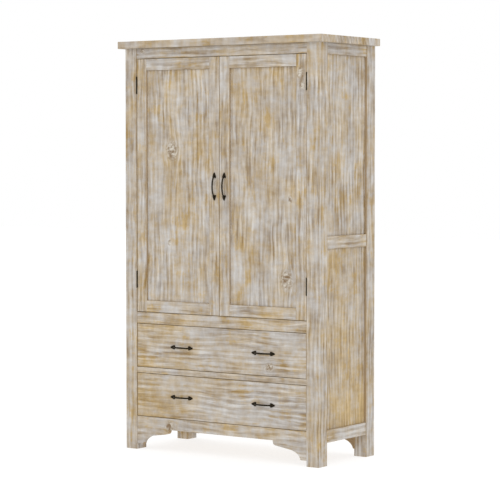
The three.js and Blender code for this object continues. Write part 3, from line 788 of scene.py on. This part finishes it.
def spade_outline(half_width):
    """Half of a spade's outline, from between its lobes round to its tip."""
    middle = half_width - LOBE_RADIUS
    shoulder = SPADE_LENGTH - SPADE_TIP
    points = [(0, LOBE_RADIUS)]
    for step in range(1, LOBE_STEPS):
        angle = math.radians(-180 + 180 * step / LOBE_STEPS)
        points.append((middle + LOBE_RADIUS * math.cos(angle), LOBE_RADIUS * (1 + math.sin(angle))))
    for step in range(CHEEK_STEPS):
        t = step / CHEEK_STEPS
        across = (1 - t) ** 2 * half_width + 2 * t * (1 - t) * SPADE_CHEEK + t * t * SPADE_TIP
        along = (1 - t) ** 2 * LOBE_RADIUS + t * (1 - t) * SPADE_LENGTH + t * t * shoulder
        points.append((across, along))
    for step in range(TIP_STEPS + 1):
        angle = math.radians(90 * step / TIP_STEPS)
        points.append((SPADE_TIP * math.cos(angle), shoulder + SPADE_TIP * math.sin(angle)))
    return points


def add_spade(bm, length, half_width, end):
    """Adds a spade plate on the plane y = 0, its tip at this end of the pull."""
    half = spade_outline(half_width)
    outline = half + [(-across, along) for across, along in reversed(half[1:-1])]
    base = length / 2 - SPADE_LENGTH
    corners = [bm.verts.new((across, 0, end * (base + along))) for across, along in outline]
    plate = bm.faces.new(corners)
    raised = bmesh.ops.extrude_face_region(bm, geom=[plate])["geom"]
    for item in raised:
        if isinstance(item, bmesh.types.BMVert):
            item.co.y = -SPADE_THICK
    rim = [
        item
        for item in raised
        if isinstance(item, bmesh.types.BMEdge) and all(v.co.y < 0 for v in item.verts)
    ]
    bmesh.ops.bevel(bm, geom=rim, offset=SPADE_EDGE, segments=3, profile=0.5, affect="EDGES")


def add_bow(bm, length, standoff):
    """Adds the bow: an oval bar along one long curve, waisted a little at its ends."""
    end = length / 2 - SPADE_LENGTH + 2 * LOBE_RADIUS
    reach = (standoff - BAR_THICK / 2 - SPADE_THICK / 4) / 0.75
    control = [
        Vector((0, -SPADE_THICK / 2, -end)),
        Vector((0, -reach, -BOW_FULLNESS * end)),
        Vector((0, -reach, BOW_FULLNESS * end)),
        Vector((0, -SPADE_THICK / 2, end)),
    ]
    rings = []
    for step in range(BAR_STEPS + 1):
        t = step / BAR_STEPS
        weights = ((1 - t) ** 3, 3 * t * (1 - t) ** 2, 3 * t * t * (1 - t), t**3)
        place = sum((w * c for w, c in zip(weights, control)), Vector())
        slopes = (-3 * (1 - t) ** 2, 3 * (1 - t) * (1 - 3 * t), 3 * t * (2 - 3 * t), 3 * t * t)
        forward = sum((w * c for w, c in zip(slopes, control)), Vector()).normalized()
        out = forward.cross(Vector((1, 0, 0))).normalized()
        girth = BAR_WAIST + (1 - BAR_WAIST) * math.sin(math.pi * t) ** 2
        wide = Vector((1, 0, 0)) * girth * BAR_WIDTH / 2
        thick = out * girth * BAR_THICK / 2
        turns = [2 * math.pi * side / BAR_SIDES for side in range(BAR_SIDES)]
        rings.append([bm.verts.new(place + wide * math.cos(a) + thick * math.sin(a)) for a in turns])
    for near, far in zip(rings, rings[1:]):
        for side in range(BAR_SIDES):
            after = (side + 1) % BAR_SIDES
            bm.faces.new((near[side], near[after], far[after], far[side]))
    bm.faces.new(rings[0])
    bm.faces.new(rings[-1])


def bow_pull(name, upright):
    """Makes the pull that stands in for the CAD pull of this name."""
    low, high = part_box(name)
    size = high - low
    length = size.z if upright else size.x
    half_width = (size.x if upright else size.z) / 2
    bm = bmesh.new()
    add_bow(bm, length, size.y)
    for end in (-1, 1):
        add_spade(bm, length, half_width, end)
        screw = Vector((0, -SPADE_THICK, end * (length / 2 - SCREW_PLACE * SPADE_LENGTH)))
        add_screw(bm, screw, (0, -1, 0), PULL_SCREW_RADIUS, PULL_SCREW_HEIGHT, SLOT_TURN * end)
    if not upright:
        bm.transform(Matrix.Rotation(math.pi / 2, 4, "Y"))
    bm.transform(Matrix.Translation(((low.x + high.x) / 2, high.y, (low.z + high.z) / 2)))
    piece = finish_iron(bm, name + "_forged", frame["nodes"][name]["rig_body"])
    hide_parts(name)


for side in ("left", "right"):
    bow_pull(f"door_{side}_pull", upright=True)
    for level in ("upper", "lower"):
        bow_pull(f"drawer_{level}_pull_{side}", upright=False)

# The armoire stands on a pale, matt studio floor, under soft, even light from all
# round. The floor glows a little, so that it stays nearly white up to the feet.
FLOOR_SIZE = 40
FLOOR_GLOW = 0.78
floor_mesh = bpy.data.meshes.new("studio_floor")
half = FLOOR_SIZE / 2
corners = [(-half, -half, 0), (half, -half, 0), (half, half, 0), (-half, half, 0)]
floor_mesh.from_pydata(corners, [], [(0, 1, 2, 3)])
floor = bpy.data.objects.new("studio_floor", floor_mesh)
bpy.context.scene.collection.objects.link(floor)
pale_floor, tree, shader = new_material("pale_studio_floor")
shader.inputs["Base Color"].default_value = linear("#8C8C8C")
shader.inputs["Roughness"].default_value = 0.9
shader.inputs["Emission Color"].default_value = linear("#FFFFFF")
shader.inputs["Emission Strength"].default_value = FLOOR_GLOW
floor_mesh.materials.append(pale_floor)

world = bpy.data.worlds.new("studio")
world.use_nodes = True
world.node_tree.nodes["Background"].inputs["Color"].default_value = linear("#FFFFFF")
world.node_tree.nodes["Background"].inputs["Strength"].default_value = 1.0
bpy.context.scene.world = world

# One broad soft light stands high off the right-hand front corner, so that it falls
# alike on the front and the side and leaves a faint shade under the top.
SOFTBOX_WIDTH = 3.2
SOFTBOX_WATTS = 35
SOFTBOX_PLACE = (3.0, -3.9, 4.4)
SOFTBOX_TARGET = (0, 0, 0.9)
softbox_data = bpy.data.lights.new("softbox", "AREA")
softbox_data.shape = "DISK"
softbox_data.size = SOFTBOX_WIDTH
softbox_data.energy = SOFTBOX_WATTS
softbox = bpy.data.objects.new("softbox", softbox_data)
softbox.location = SOFTBOX_PLACE
aim = Vector(SOFTBOX_TARGET) - softbox.location
softbox.rotation_euler = aim.to_track_quat("-Z", "Y").to_euler()
bpy.context.scene.collection.objects.link(softbox)
bpy.context.scene.view_settings.view_transform = "Standard"
